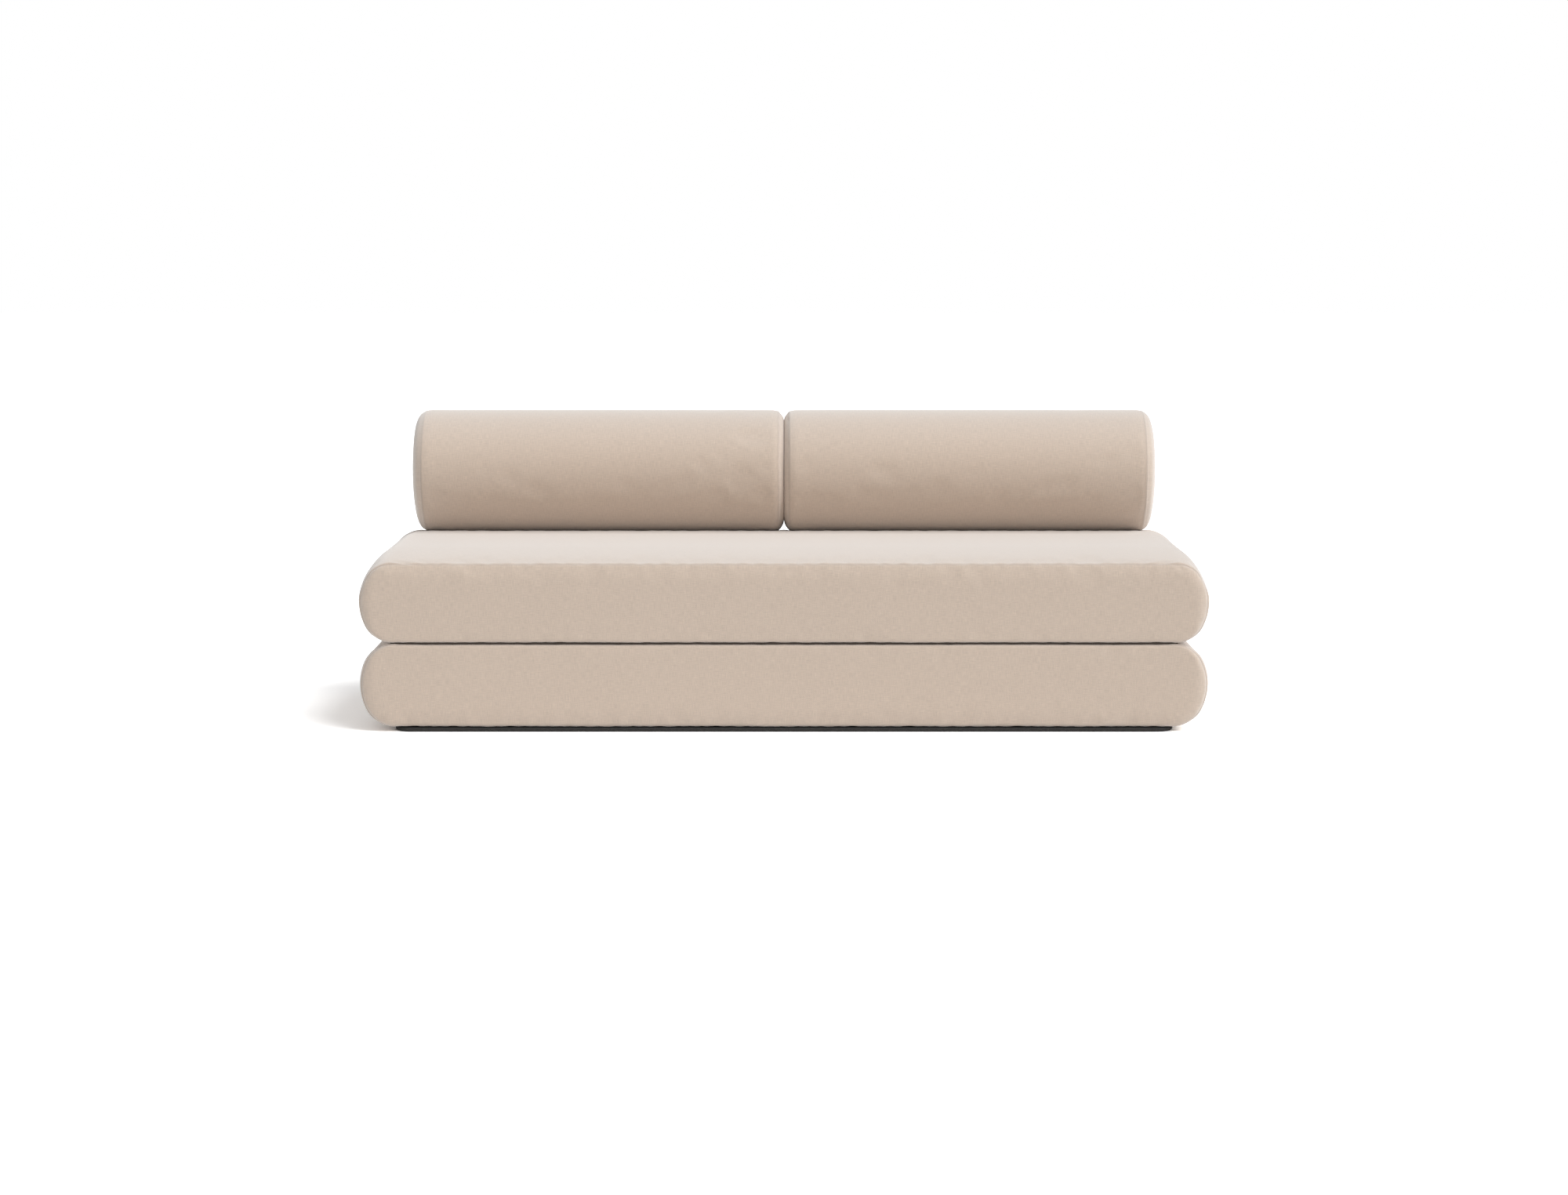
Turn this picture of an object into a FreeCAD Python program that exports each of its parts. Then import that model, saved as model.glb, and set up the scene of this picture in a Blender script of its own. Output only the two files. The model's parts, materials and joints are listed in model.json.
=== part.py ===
"""Fold-out sofa bed: two stacked foam mattresses joined along their front edge, with two bolsters as a back.

Millimetres. +Z is up, +X runs along the bed's length and +Y points to the back of the sofa.
The origin is on the floor, under the middle of the whole sofa.
"""

import FreeCAD, Part
import math
import os

from FreeCAD import Placement, Rotation, Vector

# Mattresses
BED_LENGTH = 2000.0
MATTRESS_DEPTH = 700.0
LOWER_THICK = 200.0
SHOULDER_RISE = 24.0
END_TURN = 25.0
FOLD_GAP = 0.6
LEVEL_CLEARANCE = 4.0

# Cushion edges, measured at the seam round the front and back panels
EDGE_RUN = 60.0
CROWN_DROP = 16.0
SEAT_RUN = 200.0
SEAT_DROP = 19.5
CREASE_DROP = 2.0
BOTTOM_DROP = 3.0
SIDE_DROP = 6.0
PANEL_BULGE = 9.0
PANEL_ROUND = 40.0

# Layers
COVER_THICK = 2.0
FIBRE_THICK = 8.0
COMFORT_THICK = 45.0
LAYER_CLEARANCE = 0.3

# Non-slip base
BASE_THICK = 10.0
BASE_INSET = 6.0
BASE_CORNER = 40.0

# Fabric hinge in the front crease
WELT_RADIUS = 1.5
WELT_CLEARANCE = 0.25
HINGE_PROUD = 0.4
HINGE_MARGIN = 95.0
HINGE_LEAF = 1.2
HINGE_REACH = 8.0

# Bolsters
BOLSTER_RADIUS = 150.0
BOLSTER_LENGTH = 936.0
BOLSTER_GAP = 0.6
BOLSTER_SETBACK = 50.0
INNER_CORNER = 27.0
OUTER_CORNER = 38.0
OUTER_DOME = 850.0
INNER_SEAM = 14.0
OUTER_SEAM = 34.0
BOLSTER_FIBRE = 12.0

# Hook and loop strips under the bolsters
STRIP_THICK = 0.6
STRIP_WIDTH = 40.0
STRIP_LENGTH = 700.0
STRIP_CLEARANCE = 0.1

# Zips
MATTRESS_ZIP_MARGIN = 250.0
BOLSTER_ZIP = 640.0
BOLSTER_ZIP_ANGLE = -35.0
ZIP_SLOT = 14.0
TAPE_THICK = 1.0
COIL_WIDTH = 5.0
COIL_HEIGHT = 1.8
STOP_LENGTH = 4.0
STOP_PROUD = 0.8
SLIDER_LENGTH = 12.0
SLIDER_WALL = 1.3
SLIDER_CLEARANCE = 0.2
CROWN_WINDOW = 6.4
CROWN_OPENING = 2.8
CROWN_WALL = 1.3
CROWN_WIDTH = 2.2
PULL_PIN = 0.9
PULL_ARM = 1.0
PULL_NECK = 7.5
PULL_LENGTH = 26.0
PULL_WIDTH = 8.0
PULL_THICK = 1.2
PULL_CLEARANCE = 0.3
PULL_HOLE = 1.6

# How far along an edge the sections stand, as shares of its run
EDGE_STEPS = (0.0, 0.2, 0.4, 0.7, 1.0)
SEAT_STEPS = (0.45, 0.7, 1.0)
PANEL_STEPS = (0.0, 0.25, 0.55, 1.0)

# Heights
FOLD_HEIGHT = BASE_THICK + LOWER_THICK + FOLD_GAP / 2
UPPER_THICK = FOLD_HEIGHT - FOLD_GAP / 2 - LEVEL_CLEARANCE

# Depths: the welt is the foremost point, and the bolsters reach furthest back
BOLSTER_OVERHANG = BOLSTER_RADIUS - BOLSTER_SETBACK
WHOLE_DEPTH = WELT_RADIUS + HINGE_PROUD + MATTRESS_DEPTH + BOLSTER_OVERHANG
HINGE_Y = WELT_RADIUS - WHOLE_DEPTH / 2
FRONT_Y = HINGE_Y + HINGE_PROUD
REAR_Y = FRONT_Y + MATTRESS_DEPTH
FRONT_SEAM_Y = FRONT_Y + PANEL_BULGE
REAR_SEAM_Y = REAR_Y - PANEL_BULGE
BOLSTER_Y = REAR_Y - BOLSTER_SETBACK
FRONT, REAR = -1, 1

# Each mattress: its flat faces, and how far each face drops towards a seam and over what run
LOWER = {
    "low": BASE_THICK,
    "high": BASE_THICK + LOWER_THICK,
    "front_low": (BOTTOM_DROP, EDGE_RUN),
    "front_high": (CREASE_DROP, EDGE_RUN),
    "rear_low": (BOTTOM_DROP, EDGE_RUN),
    "rear_high": (CROWN_DROP, EDGE_RUN),
}
UPPER = {
    "low": FOLD_HEIGHT + FOLD_GAP / 2,
    "high": FOLD_HEIGHT + FOLD_GAP / 2 + UPPER_THICK,
    "front_low": (CREASE_DROP, EDGE_RUN),
    "front_high": (SEAT_DROP, SEAT_RUN),
    "rear_low": (CROWN_DROP, EDGE_RUN),
    "rear_high": (CROWN_DROP, EDGE_RUN),
}


def box(x0, x1, y0, y1, z0, z1):
    return Part.makeBox(x1 - x0, y1 - y0, z1 - z0, Vector(x0, y0, z0))


def arc(plane_point, centre, radius, start, end):
    """Arc about centre from start to end degrees, with plane_point turning two coordinates into a point."""
    cx, cy = centre
    angles = [math.radians(a) for a in (start, (start + end) / 2, end)]
    points = [plane_point(cx + radius * math.cos(a), cy + radius * math.sin(a)) for a in angles]
    return Part.Arc(*points).toShape()


def line(plane_point, start, end):
    return Part.LineSegment(plane_point(*start), plane_point(*end)).toShape()


# Mattresses


def end_arcs(low, high):
    """Radii of an end's shoulder arcs and middle arc, and how far its flat stops short of its tip."""
    shoulder = (high - low) / 2 - SHOULDER_RISE
    apart = SHOULDER_RISE / math.sin(math.radians(END_TURN))
    return shoulder, shoulder + apart, shoulder + apart * (1 - math.cos(math.radians(END_TURN)))


def section(y, half, low, high):
    """Outline across a mattress at y: flat top and bottom, and ends of three arcs each."""
    shoulder, middle, short = end_arcs(low, high)
    x = half - short
    tip_x = half - middle
    mid_z = (low + high) / 2
    low_z, high_z = mid_z - SHOULDER_RISE, mid_z + SHOULDER_RISE

    def at(px, pz):
        return Vector(px, y, pz)

    edges = [
        line(at, (-x, low), (x, low)),
        arc(at, (x, low_z), shoulder, -90, -END_TURN),
        arc(at, (tip_x, mid_z), middle, -END_TURN, END_TURN),
        arc(at, (x, high_z), shoulder, END_TURN, 90),
        line(at, (x, high), (-x, high)),
        arc(at, (-x, high_z), shoulder, 90, 180 - END_TURN),
        arc(at, (-tip_x, mid_z), middle, 180 - END_TURN, 180 + END_TURN),
        arc(at, (-x, low_z), shoulder, 180 + END_TURN, 270),
    ]
    return Part.Wire(edges)


def drop_at(distance, drop, run):
    """What is left of a seam's drop at a distance from the seam."""
    return drop * (1 - distance / run) ** 2 if distance < run else 0.0


def mattress_sizes(mattress, y, inset):
    """Half width, low face and high face of a mattress at y, taken in by inset."""
    front, rear = y - FRONT_SEAM_Y, REAR_SEAM_Y - y
    half = BED_LENGTH / 2 - drop_at(front, SIDE_DROP, EDGE_RUN) - drop_at(rear, SIDE_DROP, EDGE_RUN)
    low = mattress["low"] + drop_at(front, *mattress["front_low"]) + drop_at(rear, *mattress["rear_low"])
    high = mattress["high"] - drop_at(front, *mattress["front_high"]) - drop_at(rear, *mattress["rear_high"])
    return half - inset, low + inset, high - inset


def mattress_body(mattress, inset):
    """Solid between the front and back seams."""
    front = [EDGE_RUN * step for step in EDGE_STEPS] + [SEAT_RUN * step for step in SEAT_STEPS]
    places = [FRONT_SEAM_Y + run for run in sorted(front)]
    places += [REAR_SEAM_Y - EDGE_RUN * step for step in reversed(EDGE_STEPS)]
    wires = [section(y, *mattress_sizes(mattress, y, inset)) for y in places]
    return Part.makeLoft(wires, True, True)


def panel_body(mattress, side, inset):
    """Shallow dome beyond the front or back seam."""
    seam_y = FRONT_SEAM_Y if side == FRONT else REAR_SEAM_Y
    rise = PANEL_BULGE - inset
    wires = []
    for step in PANEL_STEPS:
        sizes = mattress_sizes(mattress, seam_y, inset + PANEL_ROUND * step)
        wires.append(section(seam_y + side * rise * (1 - (1 - step) ** 2), *sizes))
    return Part.makeLoft(wires, True, True)


def top_height(mattress, y):
    return mattress_sizes(mattress, y, 0.0)[2]


def make_mattress(name, mattress, comfort_on_top):
    """Cover panels, fibre and foam of one mattress, as named solids."""
    fibre_in = COVER_THICK + LAYER_CLEARANCE
    foam_in = fibre_in + FIBRE_THICK + LAYER_CLEARANCE
    sleeve = mattress_body(mattress, fibre_in)
    foam = mattress_body(mattress, foam_in)
    foam_box = foam.BoundBox
    split = foam_box.ZMax - COMFORT_THICK if comfort_on_top else foam_box.ZMin + COMFORT_THICK
    above = box(-BED_LENGTH, BED_LENGTH, FRONT_Y, REAR_Y, split, foam_box.ZMax + 1)
    below, over = foam.cut(above), foam.common(above)
    firm, comfort = (below, over) if comfort_on_top else (over, below)
    parts = {
        "wrap_cover": mattress_body(mattress, 0.0).cut(mattress_body(mattress, COVER_THICK)),
        "fibre_sleeve": sleeve.cut(mattress_body(mattress, fibre_in + FIBRE_THICK)),
        "foam_core": firm,
        "comfort_foam": comfort,
    }
    for side, word in ((FRONT, "front"), (REAR, "back")):
        shell = panel_body(mattress, side, 0.0).cut(panel_body(mattress, side, COVER_THICK))
        parts[f"{word}_panel"] = shell
        parts[f"{word}_pad"] = panel_body(mattress, side, fibre_in)
    _, seam_low, seam_high = mattress_sizes(mattress, REAR_SEAM_Y, 0.0)
    place = Placement(Vector(0, REAR_Y, (seam_low + seam_high) / 2), Rotation(Vector(1, 0, 0), -90))
    zip_parts = make_zip(BED_LENGTH - 2 * MATTRESS_ZIP_MARGIN, place)
    parts["back_panel"] = parts["back_panel"].cut(zip_parts.pop("slot"))
    parts.update(zip_parts)
    return {f"{name}_{word}": shape for word, shape in parts.items()}


def make_base():
    """Non-slip pad under the flat of the lower mattress."""
    _, _, short = end_arcs(LOWER["low"], LOWER["high"])
    reach = BED_LENGTH / 2 - short
    pad = box(-reach, reach, FRONT_Y + BASE_INSET, REAR_Y - BASE_INSET, 0, BASE_THICK)
    upright = [e for e in pad.Edges if abs(e.Vertexes[0].Z - e.Vertexes[1].Z) > BASE_THICK / 2]
    return pad.makeFillet(BASE_CORNER, upright)


def make_hinge():
    """Two sewn leaves in the front crease, with a welt along the line that they turn about."""
    half = BED_LENGTH / 2 - HINGE_MARGIN
    low = LOWER["high"] - drop_at(HINGE_REACH, *LOWER["front_high"]) + LAYER_CLEARANCE
    rise = low - FOLD_HEIGHT
    start = HINGE_Y + WELT_RADIUS + WELT_CLEARANCE
    end = FRONT_SEAM_Y + HINGE_REACH
    welt_line = Vector(-half, HINGE_Y, FOLD_HEIGHT)
    return {
        "hinge_welt": Part.makeCylinder(WELT_RADIUS, 2 * half, welt_line, Vector(1, 0, 0)),
        "lower_hinge_leaf": box(-half, half, start, end, low, low + HINGE_LEAF),
        "upper_hinge_leaf": box(-half, half, start, end, FOLD_HEIGHT - rise - HINGE_LEAF, FOLD_HEIGHT - rise),
    }


# Zips, drawn along X with Z pointing out of the fabric and the fabric's face at zero


def make_zip(length, place):
    """Slot in the cover, and the tape, coil, stops, slider and pull of a closed zip."""
    half = length / 2
    tape_top = TAPE_THICK - COVER_THICK
    coil_top = tape_top + COIL_HEIGHT
    tape_half = ZIP_SLOT / 2 - LAYER_CLEARANCE
    coil_half = half - STOP_LENGTH
    stops = [box(x, x + STOP_LENGTH, -COIL_WIDTH / 2, COIL_WIDTH / 2, tape_top, coil_top + STOP_PROUD)
             for x in (-half, coil_half)]
    slider, pull = make_slider(tape_top, coil_top, coil_half - SLIDER_LENGTH / 2 - SLIDER_CLEARANCE)
    parts = {
        "slot": box(-half - LAYER_CLEARANCE, half + LAYER_CLEARANCE, -ZIP_SLOT / 2, ZIP_SLOT / 2,
                    -2 * COVER_THICK, COVER_THICK),
        "zip_tape": box(-half, half, -tape_half, tape_half, -COVER_THICK, tape_top),
        "zip_coil": box(-coil_half, coil_half, -COIL_WIDTH / 2, COIL_WIDTH / 2, tape_top, coil_top),
        "zip_stops": Part.makeCompound(stops),
        "zip_slider": slider,
        "zip_pull": pull,
    }
    for shape in parts.values():
        shape.Placement = place.multiply(shape.Placement)
    return parts


def make_slider(tape_top, coil_top, x):
    """Slider astride the coil at x, with a crown, and a pull whose pin turns under that crown."""
    inner = COIL_WIDTH / 2 + SLIDER_CLEARANCE
    outer = inner + SLIDER_WALL
    plate_low = coil_top + SLIDER_CLEARANCE
    plate_top = plate_low + SLIDER_WALL
    reach = SLIDER_LENGTH / 2
    body = box(x - reach, x + reach, -outer, outer, tape_top + SLIDER_CLEARANCE, plate_top)
    body = body.cut(box(x - reach, x + reach, -inner, inner, tape_top, plate_low))
    crown_reach = CROWN_WINDOW / 2 + CROWN_WALL
    crown_top = plate_top + CROWN_OPENING + CROWN_WALL
    crown = box(x - crown_reach, x + crown_reach, -CROWN_WIDTH / 2, CROWN_WIDTH / 2, plate_top, crown_top)
    window = box(x - CROWN_WINDOW / 2, x + CROWN_WINDOW / 2, -CROWN_WIDTH, CROWN_WIDTH,
                 plate_top, plate_top + CROWN_OPENING)
    slider = body.fuse(crown.cut(window)).removeSplitter()

    pin_z = plate_top + CROWN_OPENING / 2
    arm_in = CROWN_WIDTH / 2 + PULL_CLEARANCE
    arm_out = arm_in + PULL_ARM
    pin = Part.makeCylinder(PULL_PIN, 2 * arm_out, Vector(x, -arm_out, pin_z), Vector(0, 1, 0))
    low, high = pin_z - PULL_THICK / 2, pin_z + PULL_THICK / 2
    arms = [box(x - PULL_NECK - PULL_WIDTH / 2, x, y, y + PULL_ARM, low, high) for y in (-arm_out, arm_in)]
    tab_end = x - PULL_LENGTH + PULL_WIDTH / 2
    tab = box(tab_end, x - PULL_NECK, -PULL_WIDTH / 2, PULL_WIDTH / 2, low, high)
    round_end = Part.makeCylinder(PULL_WIDTH / 2, PULL_THICK, Vector(tab_end, 0, low))
    hole = Part.makeCylinder(PULL_HOLE, PULL_THICK, Vector(tab_end, 0, low))
    pull = pin.multiFuse([*arms, tab, round_end]).removeSplitter().cut(hole)
    return slider, pull


# Bolsters, drawn about the X axis on the +X side


def bolster_solid(inset):
    """Round body with a flattened inner end and a domed outer end, taken in by inset."""

    def at(px, pr):
        return Vector(px, 0, pr)

    inner = BOLSTER_GAP / 2
    tip = inner + BOLSTER_LENGTH
    inner_centre = (inner + INNER_CORNER, BOLSTER_RADIUS - INNER_CORNER)
    dome_x = tip - OUTER_DOME
    outer_r = BOLSTER_RADIUS - OUTER_CORNER
    outer_x = dome_x + math.sqrt((OUTER_DOME - OUTER_CORNER) ** 2 - outer_r ** 2)
    meet = math.degrees(math.atan2(outer_r, outer_x - dome_x))
    flat_x, side_r, tip_x = inner + inset, BOLSTER_RADIUS - inset, tip - inset
    edges = [
        line(at, (flat_x, 0), (flat_x, inner_centre[1])),
        arc(at, inner_centre, INNER_CORNER - inset, 180, 90),
        line(at, (inner_centre[0], side_r), (outer_x, side_r)),
        arc(at, (outer_x, outer_r), OUTER_CORNER - inset, 90, meet),
        arc(at, (dome_x, 0), OUTER_DOME - inset, meet, 0),
        line(at, (tip_x, 0), (flat_x, 0)),
    ]
    face = Part.Face(Part.Wire(edges))
    return face.revolve(Vector(0, 0, 0), Vector(1, 0, 0), 360)


def round_bar(radius):
    reach = 2 * BOLSTER_LENGTH
    return Part.makeCylinder(radius, reach, Vector(-reach / 4, 0, 0), Vector(1, 0, 0))


def bolster_height():
    """Height of the bolster's axis, with its grip strip just clear of the strip on the seat."""
    reach = BOLSTER_RADIUS + STRIP_CLEARANCE + STRIP_THICK
    rest = STRIP_CLEARANCE + STRIP_THICK + LAYER_CLEARANCE
    steps = range(int(-EDGE_RUN), int(BOLSTER_SETBACK - PANEL_BULGE) + 1)
    return max(top_height(UPPER, BOLSTER_Y + d) + math.sqrt(reach ** 2 - d ** 2) for d in steps) + rest


def make_bolster():
    """Pieces of the right-hand bolster, in place."""
    wide = 2 * BOLSTER_RADIUS
    inner_seam = BOLSTER_GAP / 2 + INNER_SEAM
    outer_seam = BOLSTER_GAP / 2 + BOLSTER_LENGTH - OUTER_SEAM
    middle = (inner_seam + outer_seam) / 2
    shell = bolster_solid(0.0).cut(bolster_solid(COVER_THICK))
    stuffing = bolster_solid(COVER_THICK + LAYER_CLEARANCE)
    core_radius = BOLSTER_RADIUS - COVER_THICK - BOLSTER_FIBRE - 2 * LAYER_CLEARANCE
    strip_low = BOLSTER_RADIUS + STRIP_CLEARANCE
    strip = round_bar(strip_low + STRIP_THICK).cut(round_bar(strip_low))
    strip_half, strip_side = STRIP_LENGTH / 2, STRIP_WIDTH / 2
    strip_box = box(middle - strip_half, middle + strip_half, -strip_side, strip_side, -wide, 0)
    turn = Rotation(Vector(1, 0, 0), BOLSTER_ZIP_ANGLE - 90)
    place = Placement(Vector(middle, 0, 0) + turn.multVec(Vector(0, 0, BOLSTER_RADIUS)), turn)
    zip_parts = make_zip(BOLSTER_ZIP, place)
    tube = shell.common(box(inner_seam, outer_seam, -wide, wide, -wide, wide))
    parts = {
        "tube_cover": tube.cut(zip_parts.pop("slot")),
        "inner_cap": shell.common(box(0, inner_seam, -wide, wide, -wide, wide)),
        "outer_cap": shell.common(box(outer_seam, outer_seam + wide, -wide, wide, -wide, wide)),
        "fibre_sleeve": stuffing.cut(round_bar(core_radius + LAYER_CLEARANCE)),
        "foam_core": stuffing.common(round_bar(core_radius)),
        "grip_strip": strip.common(strip_box),
    }
    parts.update(zip_parts)
    seat = Vector(0, BOLSTER_Y, bolster_height())
    return {word: shape.translated(seat) for word, shape in parts.items()}


def make_seat_strips():
    """Loop strips sewn on the seat, one under each bolster."""
    outside = mattress_body(UPPER, -STRIP_CLEARANCE - STRIP_THICK)
    skin = outside.cut(mattress_body(UPPER, -STRIP_CLEARANCE))
    middle = (BOLSTER_GAP + BOLSTER_LENGTH + INNER_SEAM - OUTER_SEAM) / 2
    strips = [
        skin.common(box(x - STRIP_LENGTH / 2, x + STRIP_LENGTH / 2, BOLSTER_Y - STRIP_WIDTH / 2,
                        BOLSTER_Y + STRIP_WIDTH / 2, UPPER["low"] + UPPER_THICK / 2, 2 * UPPER["high"]))
        for x in (-middle, middle)
    ]
    return Part.makeCompound(strips)


def make_all():
    nodes = {"non_slip_base": make_base(), "seat_grip_strips": make_seat_strips()}
    nodes.update(make_mattress("lower", LOWER, comfort_on_top=True))
    nodes.update(make_mattress("upper", UPPER, comfort_on_top=False))
    nodes.update(make_hinge())
    for word, shape in make_bolster().items():
        nodes[f"right_bolster_{word}"] = shape
        nodes[f"left_bolster_{word}"] = shape.mirror(Vector(0, 0, 0), Vector(1, 0, 0))
    return nodes


def main():
    os.makedirs("parts", exist_ok=True)
    for name, shape in make_all().items():
        shape.exportStep(f"parts/{name}.step")
        print(name, "solids", len(shape.Solids), "valid", shape.isValid())
    print("fold axis y, z", HINGE_Y, FOLD_HEIGHT)
    print("bolster axis y, z", BOLSTER_Y, bolster_height())
    print("middle of upper mattress z", (UPPER["low"] + UPPER["high"]) / 2)


main()
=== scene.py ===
"""Looks of a fold-out sofa bed: linen covers over two stacked mattresses and two bolsters.

Metres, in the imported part's frame: +Z up, +X along the bed, +Y towards the back.
"""

import json
import math

import bmesh
import bpy
import numpy as np
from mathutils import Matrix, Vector


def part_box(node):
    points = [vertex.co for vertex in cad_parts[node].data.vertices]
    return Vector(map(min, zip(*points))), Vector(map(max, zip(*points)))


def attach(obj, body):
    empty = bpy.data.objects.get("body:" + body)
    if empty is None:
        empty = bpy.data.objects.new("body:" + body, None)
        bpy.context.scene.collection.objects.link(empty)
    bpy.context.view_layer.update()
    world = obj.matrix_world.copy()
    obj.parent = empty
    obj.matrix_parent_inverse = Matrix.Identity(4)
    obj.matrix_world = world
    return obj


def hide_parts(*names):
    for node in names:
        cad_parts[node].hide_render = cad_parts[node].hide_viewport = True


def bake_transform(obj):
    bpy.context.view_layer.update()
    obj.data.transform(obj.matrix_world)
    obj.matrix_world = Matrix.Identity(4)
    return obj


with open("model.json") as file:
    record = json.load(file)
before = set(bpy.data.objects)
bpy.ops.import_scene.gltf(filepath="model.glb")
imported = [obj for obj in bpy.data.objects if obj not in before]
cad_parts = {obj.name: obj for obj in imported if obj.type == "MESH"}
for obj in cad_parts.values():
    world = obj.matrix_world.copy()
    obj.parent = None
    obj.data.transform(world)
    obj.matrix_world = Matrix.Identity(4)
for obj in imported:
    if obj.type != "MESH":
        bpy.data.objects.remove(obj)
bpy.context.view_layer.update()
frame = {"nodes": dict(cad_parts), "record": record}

# Camera, fitted to the photograph
CAMERA_PLACE = (0.0, -7.874, 1.224)
CAMERA_PITCH = 6.898
CAMERA_LENS = 73.84
SENSOR_WIDTH = 36.0

# Light, and a floor whose colour for the camera makes it look white
SKY_LEVEL = 0.40
SKY_COLOUR = (0.98, 0.99, 1.0, 1.0)
KEY_DIRECTION = (0.8, -0.40, 1.0)
KEY_STRENGTH = 2.53
KEY_ANGLE = 50.0
FLOOR_GREY = 0.9
FLOOR_SEEN = 1.85
FLOOR_REACH = 30.0

# Shapes that the covers share with the solids
SHOULDER_RISE = 0.024
END_TURN = math.radians(25)
EDGE_RUN = 0.060
SEAT_RUN = 0.200
PANEL_ROUND = 0.040
INNER_CORNER = 0.027
OUTER_CORNER = 0.038
OUTER_DOME = 0.850
ZIP_SLOT = 0.014
BOLSTER_ZIP_ANGLE = math.radians(-35)
COVER_THICK = 0.002
TAPE_THICK = 0.001
BASE_CORNER = 0.040

# Crease between the front panels, which the cloth makes narrower than the solids do
CREASE_ROUND = 0.008
CREASE_BULGE = 0.0038
CREASE_REACH = 0.015
CREASE_FADE = 4 * CREASE_REACH

# Mesh spacing of the covers
GRID = 0.0135
SHOULDER_COUNT = 11
TIP_COUNT = 8
CORNER_COUNT = 40
SEAM_STEPS = (0.0, 0.0015, 0.0035, 0.007, 0.012, 0.020)
SLOT_STEPS = (0.0069, 0.0075, 0.0095, 0.0130, 0.0200)
SLOT_END_STEPS = (0.0003, 0.0010)
SLOT_END_MARGIN = 0.0005
MARK_DIGITS = 6
MERGE_DIGITS = 5
EXACT = 1e-6
CLOSE = 1e-4

# Seams: a groove with a low lip on each side, and slight waves along it
SEAM_DEPTH = 0.0013
SEAM_WIDTH = 0.0022
LIP_HEIGHT = 0.0005
LIP_PLACE = 0.0070
LIP_WIDTH = 0.0040
WAVE_HEIGHT = 0.0008
WAVE_REACH = 0.045
WAVE_LENGTHS = (0.61, 0.37, 0.23, 0.131)
WAVE_PHASES = {"lower": 0.7, "upper": 2.1, "left_bolster": 1.3, "right_bolster": 0.4}
SLOT_RECESS = 0.0027

# Cloth: how far it may swell and sink, how far inwards it may lie with its seams, and what holds it
MATTRESS_SWELL = 0.0035
BOLSTER_SWELL = 0.0012
SINK_LIMIT = 0.0010
INWARD_LIMIT = 0.0015
FACE_HELD = 0.0015
UNDER_BOLSTER_START = 0.08
UNDER_BOLSTER_DEPTH = 0.020
ZIP_HELD = 0.025
BOLSTER_ZIP_HELD = 0.032
BOLSTER_REST_HELD = 0.006
CAP_HELD = 0.001
FOLD_CLEARANCE = 0.0002
CLOTH_FRAMES = 10
CLOTH_SETTINGS = {
    "quality": 3,
    "mass": 0.3,
    "tension_stiffness": 25,
    "compression_stiffness": 25,
    "shear_stiffness": 12,
    "bending_stiffness": 4,
    "use_pressure": True,
    "uniform_pressure_force": 4,
    "vertex_group_mass": "sewn",
    "pin_stiffness": 1.0,
    "shrink_min": -0.012,
}

# Sag of the bolsters into the mattress, and their inner caps against each other
BOLSTER_SINK = 0.0070
SINK_START = 0.65
SINK_CLEARANCE = 0.0003
CAP_PRESS = 0.0001
CAP_REACH = 0.0020

# Hinge tape: its legs lie HINGE_LEG above and below the fold, and reach HINGE_BACK back from its bend,
# which is HINGE_TURN behind the fold. Near its ends it is drawn back into the crease.
HINGE_LEG = 0.0019
HINGE_LEG_COUNT = 6
HINGE_BACK = 0.0155
HINGE_TURN = 0.0070
HINGE_BEND_COUNT = 13
HINGE_THICK = 0.0010
HINGE_GRID = 0.02
# Painted shade: past the hinge the tape runs HINGE_OVER further at each end, drawn back by HINGE_DRAWN over its
# last HINGE_TAPER, to darken the crease's ends
HINGE_OVER = 0.020
HINGE_TAPER = 0.050
HINGE_DRAWN = 0.006

# Zips
TAPE_GRID = 0.012
TAPE_PROFILE = ((-0.0066, 0.0), (-0.0062, 0.00035), (-0.0056, 0.0001), (-0.0040, 0.0), (0.0, 0.0),
                (0.0040, 0.0), (0.0056, 0.0001), (0.0062, 0.00035), (0.0066, 0.0))
TOOTH_PITCH = 0.0022
TOOTH_LONG = 0.0014
TOOTH_REACH = 0.0024
TOOTH_HOOK = 0.0009
TOOTH_HEIGHT = 0.0016
TOOTH_SHOULDER = 0.65
TOOTH_TAPER = 0.0004

# Rounded copies of small solids
METAL_ROUND = 0.00025
GRIP_ROUND = 0.0002
FLAT_ANGLE = math.radians(1)
SHARP_ANGLE = math.radians(35)
SMOOTH_ANGLE = math.radians(40)

# Base, and its dots as pairs of a share of the radius and a height
BASE_EDGE = 0.0025
BASE_EDGE_COUNT = 4
BASE_CORNER_COUNT = 9
DOT_PITCH = 0.032
DOT_RADIUS = 0.0055
DOT_HEIGHT = 0.0015
DOT_COUNT = 10
DOT_PROFILE = ((1.0, 0.0003), (0.85, -0.6 * DOT_HEIGHT), (0.5, -DOT_HEIGHT))

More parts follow.
